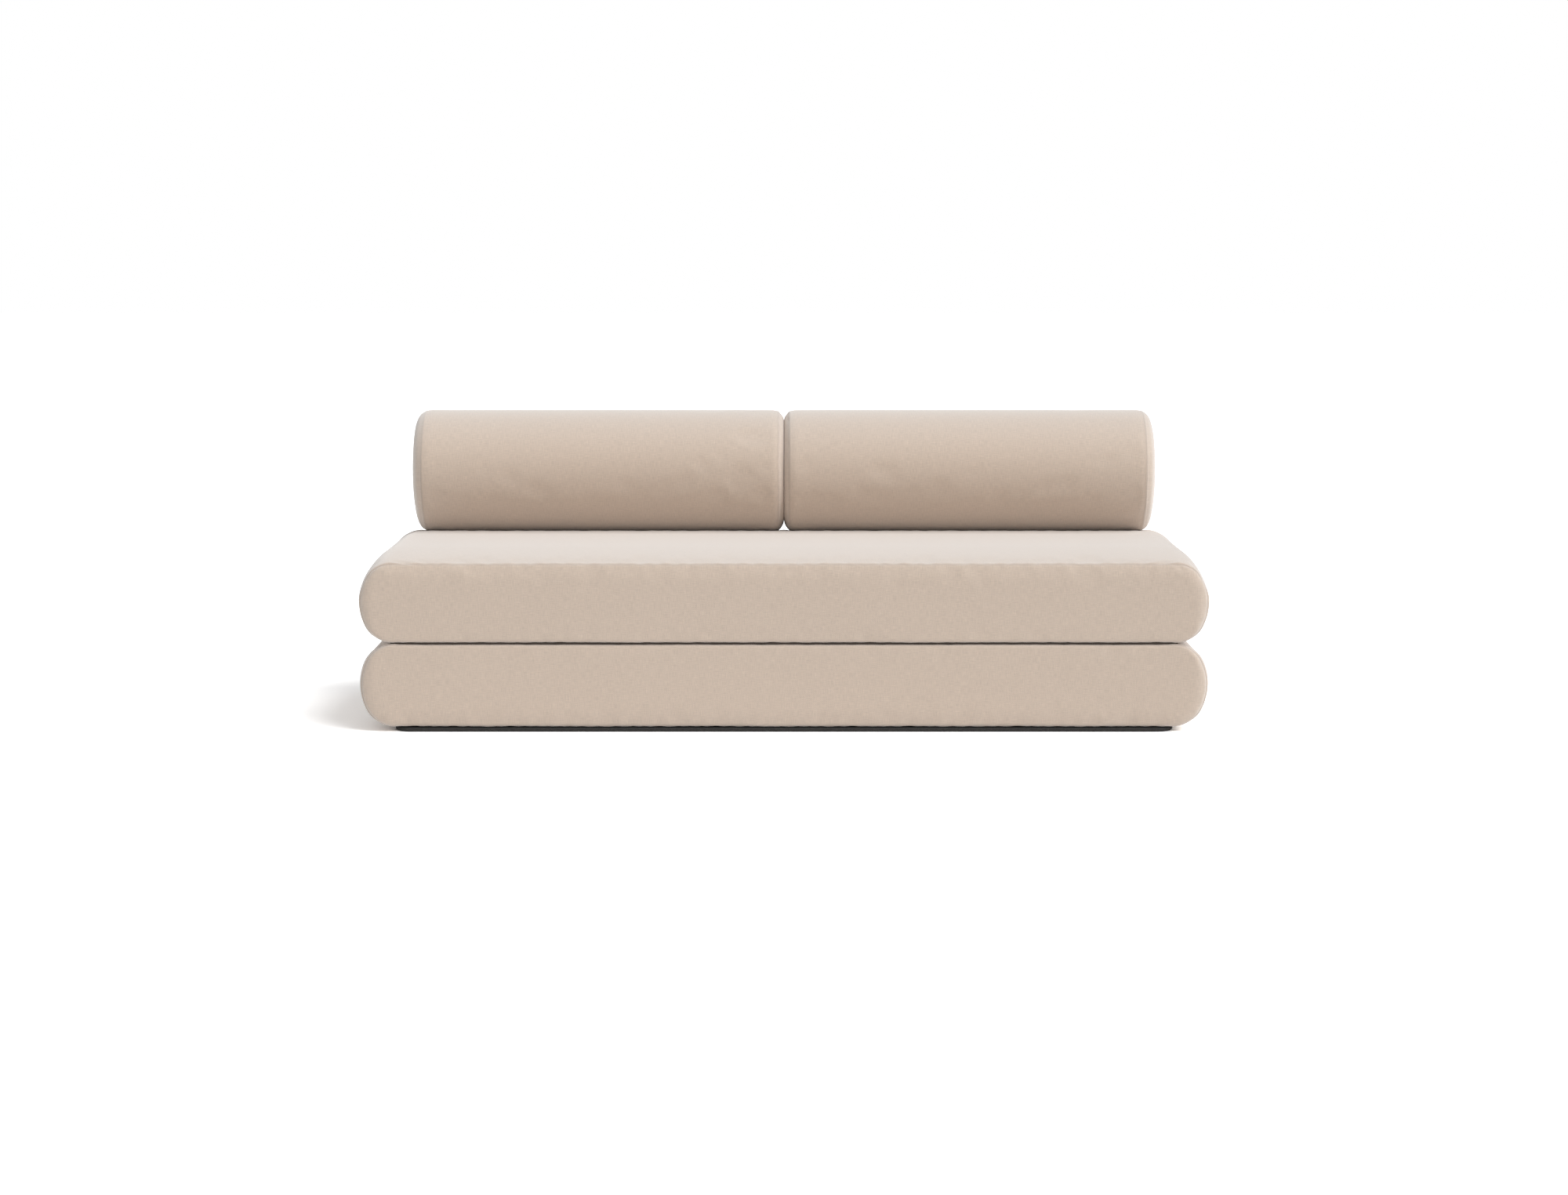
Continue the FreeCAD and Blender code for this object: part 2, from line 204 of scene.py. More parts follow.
# Linen: linear colours, noise cells per metre both ways of the cloth, each layer's share in the colour, and
# bumps as pairs of a strength and a height
LINEN_DARK = (0.40, 0.275, 0.178)
LINEN_LIGHT = (0.60, 0.440, 0.308)
LINEN_RANGE = (0.32, 0.68)
LINEN_THREAD = 0.0015
LINEN_ROUGHNESS = 0.6
LINEN_SPECULAR = 0.5
LINEN_SHEEN = 1.0
LINEN_SHEEN_ROUGHNESS = 0.85
LINEN_SHEEN_TINT = (1.0, 0.985, 0.97, 1.0)
THREAD_CELLS = ((60, 860), (820, 55))
SLUB_CELLS = ((16, 480), (520, 19))
CLOUD_CELLS = (5.0, 6.0)
CLOUD_DETAIL = 3.0
THREAD_SHARE = 0.40
SLUB_SHARE = 0.06
CLOUD_SHARE = 0.04
WEAVE_SHARE = 0.03
# Painted shade along the seams: how far the seams' mark darkens the linen, and the darker tint it darkens towards
SEAM_SHADE_SHARE = 0.6
SEAM_SHADE_TINT = (0.55, 0.48, 0.42, 1.0)
WEAVE_BUMP = 0.35
STREAK_BUMP = 1.3
LINEN_BUMP = (0.4, 0.0006)

# Woven tapes
TAPE_THREAD = 0.0008
TAPE_ROUGHNESS = 0.9
TAPE_RANGE = (0.25, 0.75)
TAPE_RIB_SHARE = 0.18
TAPE_SHEEN = 0.15
TAPE_BUMP = (0.4, 0.0004)
FLECK_CELLS = (700, 900)
TAPES = {
    # The hinge tape is a real tape, but its near-black colour is painted shade: it stands for the shadow in the
    # front crease
    "hinge_fabric": ("Hinge tape and crease shade", (0.040, 0.029, 0.021), (0.075, 0.057, 0.043)),
    "zip_tape": ("Zip tape", (0.30, 0.23, 0.17), (0.42, 0.34, 0.26)),
}

# Grained materials: name, dark and light colour, grains per metre and roughness
PLAIN_SPECULAR = 0.2
GRAIN_RANGE = (0.3, 0.7)
GRAIN_DETAIL = 4.0
GRAIN_BUMP = 0.3
GRAIN_HEIGHT = 0.0005
WADDING_HEIGHT = 0.003
GRAINS = {
    "fibre": ("Wadding", (0.75, 0.75, 0.73), (0.9, 0.9, 0.88), 120, 0.95),
    "foam": ("Foam", (0.66, 0.62, 0.48), (0.8, 0.76, 0.62), 600, 0.9),
    "comfort_foam": ("Comfort foam", (0.55, 0.66, 0.74), (0.68, 0.78, 0.85), 600, 0.9),
    "base": ("Non-slip base", (0.024, 0.023, 0.022), (0.044, 0.042, 0.040), 500, 0.8),
    "zip_coil": ("Zip coil", (0.26, 0.20, 0.15), (0.34, 0.27, 0.2), 500, 0.5),
    "zip_metal": ("Satin nickel", (0.42, 0.40, 0.37), (0.56, 0.54, 0.5), 700, 0.32),
    "grip": ("Grip pile", (0.40, 0.33, 0.26), (0.55, 0.47, 0.38), 1500, 0.95),
}


# Materials


def node(tree, kind, **values):
    made = tree.nodes.new(kind)
    for key, value in values.items():
        setattr(made, key, value)
    return made


def math_node(tree, operation, first, second=None, third=None):
    made = node(tree, "ShaderNodeMath", operation=operation)
    for socket, value in zip(made.inputs, (first, second, third)):
        if isinstance(value, bpy.types.NodeSocket):
            tree.links.new(value, socket)
        elif value is not None:
            socket.default_value = value
    return made.outputs[0]


def stretched_noise(tree, vector, cells, detail=2.0):
    """Noise with cells[0] by cells[1] cells per metre."""
    place = node(tree, "ShaderNodeMapping")
    place.inputs["Scale"].default_value = (*cells, 1.0)
    noise = node(tree, "ShaderNodeTexNoise", noise_dimensions="2D")
    noise.inputs["Scale"].default_value = 1.0
    noise.inputs["Detail"].default_value = detail
    tree.links.new(vector, place.inputs["Vector"])
    tree.links.new(place.outputs["Vector"], noise.inputs["Vector"])
    return noise.outputs["Fac"]


def new_material(name, roughness):
    made = bpy.data.materials.new(name)
    made.use_nodes = True
    shader = made.node_tree.nodes["Principled BSDF"]
    shader.inputs["Roughness"].default_value = roughness
    shader.inputs["Specular IOR Level"].default_value = PLAIN_SPECULAR
    return made, made.node_tree, shader


def cloth_axes(tree):
    """The cloth's flat coordinates as one vector, and apart."""
    flat = node(tree, "ShaderNodeUVMap", uv_map="weave").outputs["UV"]
    axes = node(tree, "ShaderNodeSeparateXYZ")
    tree.links.new(flat, axes.inputs[0])
    return flat, axes.outputs[0], axes.outputs[1]


def thread_waves(tree, along, thread):
    return math_node(tree, "SINE", math_node(tree, "MULTIPLY", along, math.pi / thread))


def bump(tree, shader, height, strength, distance):
    made = node(tree, "ShaderNodeBump")
    made.inputs["Strength"].default_value = strength
    made.inputs["Distance"].default_value = distance
    tree.links.new(height, made.inputs["Height"])
    tree.links.new(made.outputs["Normal"], shader.inputs["Normal"])


def two_tones(tree, fac, dark, light, places):
    """Colour that runs from dark to light as fac runs between two places."""
    ramp = node(tree, "ShaderNodeValToRGB")
    for element, place, colour in zip(ramp.color_ramp.elements, places, (dark, light)):
        element.position = place
        element.color = (*colour, 1)
    tree.links.new(fac, ramp.inputs["Fac"])
    return ramp.outputs["Color"]


def linen_material():
    """Plain weave with slubs: fine streaks along both threads, an over-and-under bump, a pale sheen, and painted
    shade along the seams.
    """
    made, tree, shader = new_material("Linen", LINEN_ROUGHNESS)
    shader.inputs["Specular IOR Level"].default_value = LINEN_SPECULAR
    flat, *axes = cloth_axes(tree)
    threads = [stretched_noise(tree, flat, cells) for cells in THREAD_CELLS]
    slubs = [stretched_noise(tree, flat, cells) for cells in SLUB_CELLS]
    cloud = stretched_noise(tree, flat, CLOUD_CELLS, CLOUD_DETAIL)
    weave = math_node(tree, "MULTIPLY", *(thread_waves(tree, axis, LINEN_THREAD) for axis in axes))
    slub = math_node(tree, "MULTIPLY", math_node(tree, "ADD", *slubs), SLUB_SHARE)
    streaks = math_node(tree, "MULTIPLY_ADD", math_node(tree, "ADD", *threads), THREAD_SHARE, slub)
    clouded = math_node(tree, "MULTIPLY_ADD", cloud, CLOUD_SHARE, streaks)
    shade = math_node(tree, "MULTIPLY_ADD", weave, WEAVE_SHARE, clouded)
    # Painted shade: near each seam the colour is multiplied towards a darker tint, standing in for the shade in the
    # seam's groove
    seam_shade = node(tree, "ShaderNodeAttribute", attribute_name="seam").outputs["Fac"]
    seam = node(tree, "ShaderNodeMix", data_type="RGBA", blend_type="MULTIPLY")
    tree.links.new(math_node(tree, "MULTIPLY", seam_shade, SEAM_SHADE_SHARE), seam.inputs["Factor"])
    tree.links.new(two_tones(tree, shade, LINEN_DARK, LINEN_LIGHT, LINEN_RANGE), seam.inputs["A"])
    seam.inputs["B"].default_value = SEAM_SHADE_TINT
    tree.links.new(seam.outputs["Result"], shader.inputs["Base Color"])
    shader.inputs["Sheen Weight"].default_value = LINEN_SHEEN
    shader.inputs["Sheen Roughness"].default_value = LINEN_SHEEN_ROUGHNESS
    shader.inputs["Sheen Tint"].default_value = LINEN_SHEEN_TINT
    raised = math_node(tree, "MULTIPLY", streaks, STREAK_BUMP)
    bump(tree, shader, math_node(tree, "MULTIPLY_ADD", weave, WEAVE_BUMP, raised), *LINEN_BUMP)
    return made


def grain_material(name, dark, light, scale, roughness, metallic=0.0, height=GRAIN_HEIGHT):
    """Two tones of one colour with a grain of its own size: foam, wadding, rubber, plastic or metal."""
    made, tree, shader = new_material(name, roughness)
    shader.inputs["Metallic"].default_value = metallic
    place = node(tree, "ShaderNodeTexCoord").outputs["Object"]
    noise = node(tree, "ShaderNodeTexNoise")
    noise.inputs["Scale"].default_value = scale
    noise.inputs["Detail"].default_value = GRAIN_DETAIL
    tree.links.new(place, noise.inputs["Vector"])
    grain = noise.outputs["Fac"]
    tree.links.new(two_tones(tree, grain, dark, light, GRAIN_RANGE), shader.inputs["Base Color"])
    bump(tree, shader, grain, GRAIN_BUMP, height)
    return made


def tape_material(name, dark, light):
    """Close twill with fine ribs along the tape."""
    made, tree, shader = new_material(name, TAPE_ROUGHNESS)
    flat, along, across = cloth_axes(tree)
    ribs = thread_waves(tree, math_node(tree, "ADD", along, across), TAPE_THREAD)
    flecks = stretched_noise(tree, flat, FLECK_CELLS)
    shade = math_node(tree, "MULTIPLY_ADD", ribs, TAPE_RIB_SHARE, flecks)
    tree.links.new(two_tones(tree, shade, dark, light, TAPE_RANGE), shader.inputs["Base Color"])
    shader.inputs["Sheen Weight"].default_value = TAPE_SHEEN
    bump(tree, shader, shade, *TAPE_BUMP)
    return made


def all_materials():
    """One material for each slot of the record."""
    more = {"fibre": {"height": WADDING_HEIGHT}, "zip_metal": {"metallic": 1.0}}
    made = {"linen": linen_material()}
    made.update({slot: tape_material(*values) for slot, values in TAPES.items()})
    made.update({slot: grain_material(*values, **more.get(slot, {})) for slot, values in GRAINS.items()})
    return made


# Cover meshes


class Cover:
    """One closed cover: points with their distance from a seam, and faces with their flat coordinates and panel."""

    def __init__(self):
        self.points = []
        self.faces = []
        self.flat = []
        self.panels = []
        self.seam = []

    def add_ring(self, points, seam_distance):
        start = len(self.points)
        self.points.extend(points)
        self.seam.extend([seam_distance] * len(points))
        return np.arange(start, start + len(points))

    def add_strip(self, ring, after, flat, flat_after, panel, turned=False):
        """Faces between two closed rings. Each flat list has one entry more than its ring, to close the loop."""
        count = len(ring)
        for i in range(count):
            j = (i + 1) % count
            corners = [ring[i], ring[j], after[j], after[i]]
            places = [flat[i], flat[i + 1], flat_after[i + 1], flat_after[i]]
            if turned:
                corners.reverse()
                places.reverse()
            keep = [k for k in range(4) if corners[k] != corners[k - 1]]
            if len(keep) < 3:
                continue
            self.faces.append([int(corners[k]) for k in keep])
            self.flat.append([places[k] for k in keep])
            self.panels.append(panel)


def closed(values):
    return np.concatenate([values, values[:1]])


def steps_between(start, end, pitch):
    """Evenly spaced values after start and before end."""
    count = max(1, round((end - start) / pitch))
    return [start + (end - start) * k / count for k in range(1, count)]


def filled(marks, pitch):
    """Marks in order, with evenly spaced values between them."""
    marks = sorted(marks)
    every = []
    for here, after in zip(marks, marks[1:]):
        every += [here, *steps_between(here, after, pitch)]
    return every + marks[-1:]


def seam_spaced(length, seams, others=()):
    """Distances along a path with close steps on both sides of each seam."""
    marks = {round(s + sign * d, MARK_DIGITS) for s in seams for d in SEAM_STEPS for sign in (-1, 1)}
    marks |= {0.0, length, *others}
    return filled([m for m in marks if 0 <= m <= length], GRID)


def end_arcs(low, high):
    """Radii of an end's shoulder arcs and middle arc, and how far its flat stops short of its tip."""
    shoulder = (high - low) / 2 - SHOULDER_RISE
    apart = SHOULDER_RISE / math.sin(END_TURN)
    return shoulder, shoulder + apart, shoulder + apart * (1 - math.cos(END_TURN))


def arc_points(centre, radius, start, end, count):
    turn = np.linspace(start, end, count, endpoint=False)
    return np.stack([centre[0] + radius * np.cos(turn), centre[1] + radius * np.sin(turn)], 1)


def outline(half, low, high, shares):
    """Section of a mattress as points (x, z), round from its bottom.

    Shares, from -1 to 1, place the flats' points.
    """
    shoulder, middle, short = end_arcs(low, high)
    x, tip_x, mid_z = half - short, half - middle, (low + high) / 2
    pieces = [
        np.stack([x * shares, np.full(len(shares), low)], 1),
        arc_points((x, mid_z - SHOULDER_RISE), shoulder, -math.pi / 2, -END_TURN, SHOULDER_COUNT),
        arc_points((tip_x, mid_z), middle, -END_TURN, END_TURN, TIP_COUNT),
        arc_points((x, mid_z + SHOULDER_RISE), shoulder, END_TURN, math.pi / 2, SHOULDER_COUNT),
    ]
    half_turn = np.concatenate(pieces)
    other = np.stack([-half_turn[:, 0], low + high - half_turn[:, 1]], 1)
    return np.concatenate([half_turn, other])


def drop_at(distance, drop, run):
    return drop * max(0.0, 1 - distance / run) ** 2


def path_length(points):
    return np.concatenate([[0.0], np.cumsum(np.linalg.norm(np.diff(points, axis=0), axis=1))])


def mattress_cover(name):
    """Wrap, front and back panels of one mattress in one mesh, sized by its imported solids."""
    low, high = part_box(f"{name}_wrap_cover")
    front_low, front_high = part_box(f"{name}_front_panel")
    back_low, back_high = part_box(f"{name}_back_panel")
    slot_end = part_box(f"{name}_zip_tape")[1].x
    depth = high.y - low.y
    crown_run = SEAT_RUN if name == "upper" else EDGE_RUN
    flat_reach = back_high.x - end_arcs(back_low.z, back_high.z)[2]
    marks = {sign * (slot_end + d) for sign in (-1, 1) for d in SLOT_END_STEPS} | {-flat_reach, flat_reach}
    shares = np.array(filled(marks, GRID)[:-1]) / flat_reach
    cover = Cover()

    def ring_points(y, sizes):
        section = outline(*sizes, shares)
        return np.stack([section[:, 0], np.full(len(section), y), section[:, 1]], 1)

    def sizes_at(front):
        back = depth - front
        half, bottom, top = high.x, low.z, high.z
        half -= drop_at(front, high.x - front_high.x, EDGE_RUN)
        half -= drop_at(back, high.x - back_high.x, EDGE_RUN)
        bottom += drop_at(front, front_low.z - low.z, EDGE_RUN)
        bottom += drop_at(back, back_low.z - low.z, EDGE_RUN)
        top -= drop_at(front, high.z - front_high.z, crown_run)
        top -= drop_at(back, high.z - back_high.z, EDGE_RUN)
        return half, bottom, top

    round_length = path_length(closed(outline(*sizes_at(depth / 2), shares)))
    rings, flats = [], []
    for distance in seam_spaced(depth, (0.0, depth)):
        points = ring_points(low.y + distance, sizes_at(distance))
        rings.append(cover.add_ring(points, min(distance, depth - distance)))
        flats.append(np.stack([round_length, np.full(len(round_length), distance)], 1))
    for k in range(len(rings) - 1):
        cover.add_strip(rings[k], rings[k + 1], flats[k], flats[k + 1], "wrap", turned=True)
    crease = 1 if name == "lower" else -1
    bring_forward(cover, rings, front_low, front_high, crease)
    add_panel(cover, rings[0], -1, front_low, front_high, "front", crease)
    add_panel(cover, rings[-1], 1, back_low, back_high, "back", 0)
    return cover


def crease_share(seam, low, high, crease):
    """How far each point of a panel's seam faces the crease, which is above (1), below (-1) or nowhere (0)."""
    half_height = (high.z - low.z) / 2
    return np.clip(crease * (seam[:, 2] - (low.z + high.z) / 2) / half_height, 0, 1) ** 2


def bring_forward(cover, rings, low, high, crease):
    """Moves the front seam forward where it lies in the crease, so that the crease is narrow."""
    seam = np.array([cover.points[i] for i in rings[0]])
    shift = (high.y - low.y - CREASE_BULGE) * crease_share(seam, low, high, crease)
    for ring in rings:
        fade = math.exp(-((cover.seam[ring[0]] / CREASE_REACH) ** 2))
        for i, step in zip(ring, shift):
            x, y, z = cover.points[i]
            if y < seam[0, 1] + CREASE_FADE:
                cover.points[i] = np.array((x, y - step * fade, z))


def add_panel(cover, seam_ring, side, low, high, panel, crease):
    """Domed panel that closes a cover beyond its seam, drawn in rings towards the panel's middle line."""
    seam = np.array([cover.points[i] for i in seam_ring])
    outside = low.y if side < 0 else high.y
    bulge = outside - seam[:, 1]
    rounding = PANEL_ROUND + (CREASE_ROUND - PANEL_ROUND) * crease_share(seam, low, high, crease)
    middle_z = (low.z + high.z) / 2
    half_height = (high.z - low.z) / 2
    reach = high.x - half_height
    spine = np.stack([np.clip(seam[:, 0], -reach, reach), seam[:, 1], np.full(len(seam), middle_z)], 1)
    ring, points = seam_ring, seam

    def flat_at(places):
        return closed(places[:, [0, 2]])

    marks = [*SEAM_STEPS, *(half_height - d for d in SLOT_STEPS), half_height]
    for inset in filled(marks, GRID)[1:]:
        share = inset / half_height
        after_points = seam + (spine - seam) * share
        after_points[:, 1] = outside - bulge * np.clip(1 - inset / rounding, 0, 1) ** 2
        if share < 1:
            after = cover.add_ring(after_points, inset)
        else:
            after = add_spine(cover, after_points, inset)
        cover.add_strip(ring, after, flat_at(points), flat_at(after_points), panel, turned=side > 0)
        ring, points = after, after_points


def add_spine(cover, points, seam_distance):
    """Middle line of a panel, where the points from above and below are one."""
    places = {}
    ring = []
    for p in points:
        key = (round(p[0], MERGE_DIGITS), round(p[2], MERGE_DIGITS))
        if key not in places:
            places[key] = cover.add_ring([p], seam_distance)[0]
        ring.append(places[key])
    return np.array(ring)


def bolster_path(inner, tip, radius):
    """Profile of a bolster from the middle of its inner end to the tip of its outer end, as points (x, r)."""
    dome_x = tip - OUTER_DOME
    inner_centre = inner + INNER_CORNER, radius - INNER_CORNER
    outer_r = radius - OUTER_CORNER
    outer_x = dome_x + math.sqrt((OUTER_DOME - OUTER_CORNER) ** 2 - outer_r ** 2)
    meet = math.atan2(outer_r, outer_x - dome_x)
    pieces = [
        [(inner, 0.0)],
        arc_points(inner_centre, INNER_CORNER, math.pi, math.pi / 2, CORNER_COUNT),
        [(inner + INNER_CORNER, radius)],
        arc_points((outer_x, outer_r), OUTER_CORNER, math.pi / 2, meet, CORNER_COUNT),
        arc_points((dome_x, 0.0), OUTER_DOME, meet, 0.0, CORNER_COUNT),
        [(tip, 0.0)],
    ]
    return np.concatenate(pieces)


def bolster_sizes(side):
    """Sign of the side, the ends and seams along X, the radius and the axis of one bolster."""
    low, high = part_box(f"{side}_bolster_tube_cover")
    inner_low, inner_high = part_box(f"{side}_bolster_inner_cap")
    outer_low, outer_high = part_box(f"{side}_bolster_outer_cap")
    sign = 1 if high.x > 0 else -1
    ends = sorted(sign * v for v in (inner_low.x, inner_high.x, outer_low.x, outer_high.x))
    axis = ((outer_low.y + outer_high.y) / 2, (outer_low.z + outer_high.z) / 2)
    return sign, ends, (high.z - low.z) / 2, axis


def bolster_cover(side):
    """Tube and two caps of one bolster in one mesh. Its rings start and end at the zip."""
    sign, (inner, inner_seam, outer_seam, tip), radius, (axis_y, axis_z) = bolster_sizes(side)
    tape_ends = sorted(sign * corner.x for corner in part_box(f"{side}_bolster_zip_tape"))
    slot_ends = [end + outwards * d for end, outwards in zip(tape_ends, (-1, 1)) for d in SLOT_END_STEPS]
    path = bolster_path(inner, tip, radius)
    length = path_length(path)
    seams = [float(np.interp(x, path[:, 0], length)) for x in (inner_seam, outer_seam)]
    slot_marks = [float(np.interp(x, path[:, 0], length)) for x in slot_ends]
    girth = 2 * math.pi * radius
    arcs = filled({0.0, girth} | set(SLOT_STEPS) | {girth - d for d in SLOT_STEPS}, GRID)
    turn = BOLSTER_ZIP_ANGLE + np.array(arcs[:-1]) / radius
    around = len(turn)
    cover = Cover()
    ring, last_x, last_points = None, None, None

    def flat_at(panel, x, places):
        return np.stack([np.full(around + 1, x), arcs], 1) if panel == "tube" else closed(places[:, 1:])

    for distance in seam_spaced(length[-1], seams, slot_marks):
        x, r = np.interp(distance, length, path[:, 0]), np.interp(distance, length, path[:, 1])
        ring_y, ring_z = axis_y + r * np.cos(turn), axis_z + r * np.sin(turn)
        points = np.stack([np.full(around, sign * x), ring_y, ring_z], 1)
        panel = ("inner", "tube", "outer")[sum(distance > s + EXACT for s in seams)]
        seam_distance = min(abs(distance - s) for s in seams)
        if r < EXACT:
            after = np.repeat(cover.add_ring(points[:1], seam_distance), around)
        else:
            after = cover.add_ring(points, seam_distance)
        if ring is not None:
            flats = flat_at(panel, last_x, last_points), flat_at(panel, x, points)
            cover.add_strip(ring, after, *flats, panel, turned=sign > 0)
        ring, last_x, last_points = after, x, points
    return cover


# Cloth


def mesh_from(name, cover, points, chosen=None):
    """Blender mesh of a cover, or of its chosen panel alone, with the weave's coordinates and the seams' mark, by
    which the linen paints shade along the seams.
    """
    picked = [k for k, panel in enumerate(cover.panels) if chosen is None or panel == chosen]
    used = sorted({i for k in picked for i in cover.faces[k]})
    place = {old: new for new, old in enumerate(used)}
    mesh = bpy.data.meshes.new(name)
    mesh.from_pydata([points[i] for i in used], [], [[place[i] for i in cover.faces[k]] for k in picked])
    flat = np.array([p for k in picked for p in cover.flat[k]], np.float32)
    mesh.uv_layers.new(name="weave").data.foreach_set("uv", flat.ravel())
    # Seams' mark, falling off from each seam; the linen darkens by it as painted shade in the seam grooves
    seam = np.exp(-((np.array(cover.seam)[used] / SEAM_WIDTH) ** 2))
    mesh.attributes.new("seam", "FLOAT", "POINT").data.foreach_set("value", seam.astype(np.float32))
    mesh.polygons.foreach_set("use_smooth", np.ones(len(picked), bool))
    mesh.update()
    return mesh


def vertex_normals(mesh):
    values = np.zeros(len(mesh.vertices) * 3, np.float32)
    mesh.vertex_normals.foreach_get("vector", values)
    return values.reshape(-1, 3).astype(float)


def waves_along(values, phase):
    """Slight uneven waves, from -1 to 1, that are the same in every run."""
    waves = (2 * math.pi * values / length + phase * (k + 1) for k, length in enumerate(WAVE_LENGTHS))
    return sum(np.sin(wave) for wave in waves) / len(WAVE_LENGTHS)


def stuffed(name, cover, held, swell):
    """Points of a cover after its cloth has been pressed outwards.

    Held is 1 for each point that is sewn or rests on something, and otherwise 0.
    """
    points = np.array(cover.points, float)
    mesh = mesh_from(name + "_cloth", cover, points)
    normals = vertex_normals(mesh)
    seam = np.array(cover.seam)
    out = np.zeros(len(points))
    moved = simulate(name, mesh, held)
    out = np.clip(np.einsum("ij,ij->i", moved - points, normals), -SINK_LIMIT, swell)
    waves = waves_along(points[:, 0] + points[:, 2], WAVE_PHASES[name])
    out -= SEAM_DEPTH * np.exp(-((seam / SEAM_WIDTH) ** 2))
    out += LIP_HEIGHT * np.exp(-(((seam - LIP_PLACE) / LIP_WIDTH) ** 2))
    out += WAVE_HEIGHT * np.exp(-((seam / WAVE_REACH) ** 2)) * waves
    out = np.maximum(out, -INWARD_LIMIT)
    bpy.data.meshes.remove(mesh)
    return points + normals * out[:, None]


def simulate(name, mesh, held):
    scene = bpy.context.scene
    obj = bpy.data.objects.new(name + "_cloth", mesh)
    scene.collection.objects.link(obj)
    sewn = obj.vertex_groups.new(name=CLOTH_SETTINGS["vertex_group_mass"])
    for level in np.unique(held):
        sewn.add([int(i) for i in np.flatnonzero(held == level)], float(level), "REPLACE")
    cloth = obj.modifiers.new("Cloth", "CLOTH")
    for key, value in CLOTH_SETTINGS.items():
        setattr(cloth.settings, key, value)
    cloth.settings.effector_weights.gravity = 0
    cloth.collision_settings.use_collision = False
    cloth.point_cache.frame_start = 1
    cloth.point_cache.frame_end = CLOTH_FRAMES
    for number in range(1, CLOTH_FRAMES + 1):
        scene.frame_set(number)
    ready = obj.evaluated_get(bpy.context.evaluated_depsgraph_get()).to_mesh()
    values = np.zeros(len(ready.vertices) * 3, np.float32)
    ready.vertices.foreach_get("co", values)
    bpy.data.objects.remove(obj)
    scene.frame_set(1)
    return values.reshape(-1, 3).astype(float)


def show(piece, material, solids, body=None):
    """Links a new piece with its material, hides the solids it stands for, and attaches it to what it moves with.
    """
    bpy.context.scene.collection.objects.link(piece)
    piece.data.materials.clear()
    piece.data.materials.append(material)
    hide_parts(*solids)
    if body:
        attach(piece, body)


def dress(cover, points, panels, body, material):
    """One piece for each panel.

    Panels pairs each panel's name with the solids it stands for, its cover first.
    """
    for panel, solids in panels.items():
        name = solids[0] + "_linen"
        piece = bpy.data.objects.new(name, mesh_from(name, cover, points, panel))
        smooth = piece.modifiers.new("Smooth", "SUBSURF")
        smooth.levels = smooth.render_levels = 1
        show(piece, material, solids, body)


def make_mattress(name, material):
    low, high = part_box(f"{name}_wrap_cover")
    tape_low, tape_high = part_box(f"{name}_zip_tape")
    welt_low, welt_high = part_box("hinge_welt")
    fold_y = (welt_low.y + welt_high.y) / 2
    zip_z = (tape_low.z + tape_high.z) / 2
    cover = mattress_cover(name)
    at_rest = np.array(cover.points)
    x, y, z = at_rest.T
    held = (np.array(cover.seam) < EXACT).astype(float)
    held[z < low.z + FACE_HELD] = 1.0
    if name == "lower":
        held[z > high.z - FACE_HELD] = 1.0
    else:
        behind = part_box("left_bolster_tube_cover")[0].y + UNDER_BOLSTER_START
        held[(y > behind) & (z > high.z - UNDER_BOLSTER_DEPTH)] = 1.0
    on_back = y > high.y + CLOSE
    from_zip = np.abs(z - zip_z)
    beside = np.maximum(np.abs(x) - tape_high.x, from_zip - ZIP_SLOT / 2)
    held[on_back & (beside < ZIP_HELD)] = 1.0
    points = stuffed(name, cover, held, MATTRESS_SWELL)
    points[:, 1] = np.maximum(points[:, 1], fold_y + FOLD_CLEARANCE)
    in_slot = on_back & (np.abs(x) < tape_high.x + SLOT_END_MARGIN) & (from_zip < SLOT_STEPS[0] + CLOSE)
    points[in_slot, 1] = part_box(f"{name}_back_panel")[1].y - SLOT_RECESS
    if name == "upper":
        dent_faces(points)
    panels = {
        "wrap": [f"{name}_wrap_cover", f"{name}_fibre_sleeve"],
        "front": [f"{name}_front_panel", f"{name}_front_pad"],
        "back": [f"{name}_back_panel", f"{name}_back_pad"],
    }
    dress(cover, points, panels, f"{name}_mattress", material)


def sunk(height, radius):
    """Height above a bolster's axis after its underside has sagged into the seat."""
    share = np.clip((-height / radius - SINK_START) / (1 - SINK_START), 0, 1)
    return height - BOLSTER_SINK * share ** 2 * (3 - 2 * share)


def dent_faces(points):
    """Presses the upper mattress in under the bolsters, on the seat and where they lie on the opened bed."""
    joints = frame["record"]["behaviour"]["joints"]
    carry_z = next(j["pos_m"][2] for j in joints if j["name"] == "left_bolster_carry")
    for side in ("left", "right"):
        sign, (inner, _, _, tip), radius, (axis_y, axis_z) = bolster_sizes(side)
        path = bolster_path(inner, tip, radius)
        along = np.clip(sign * points[:, 0], path[0, 0], path[-1, 0])
        beside = sign * points[:, 0] - along
        reach = np.interp(along, path[:, 0], path[:, 1])
        inside = reach ** 2 - (points[:, 1] - axis_y) ** 2 - beside ** 2
        under = axis_z + sunk(-np.sqrt(np.clip(inside, 0, None)), radius) - SINK_CLEARANCE
        for turned in (False, True):
            height = 2 * carry_z - points[:, 2] if turned else points[:, 2]
            pressed = (inside > 0) & (height > under) & (height < axis_z - radius / 2)
            points[pressed, 2] = 2 * carry_z - under[pressed] if turned else under[pressed]


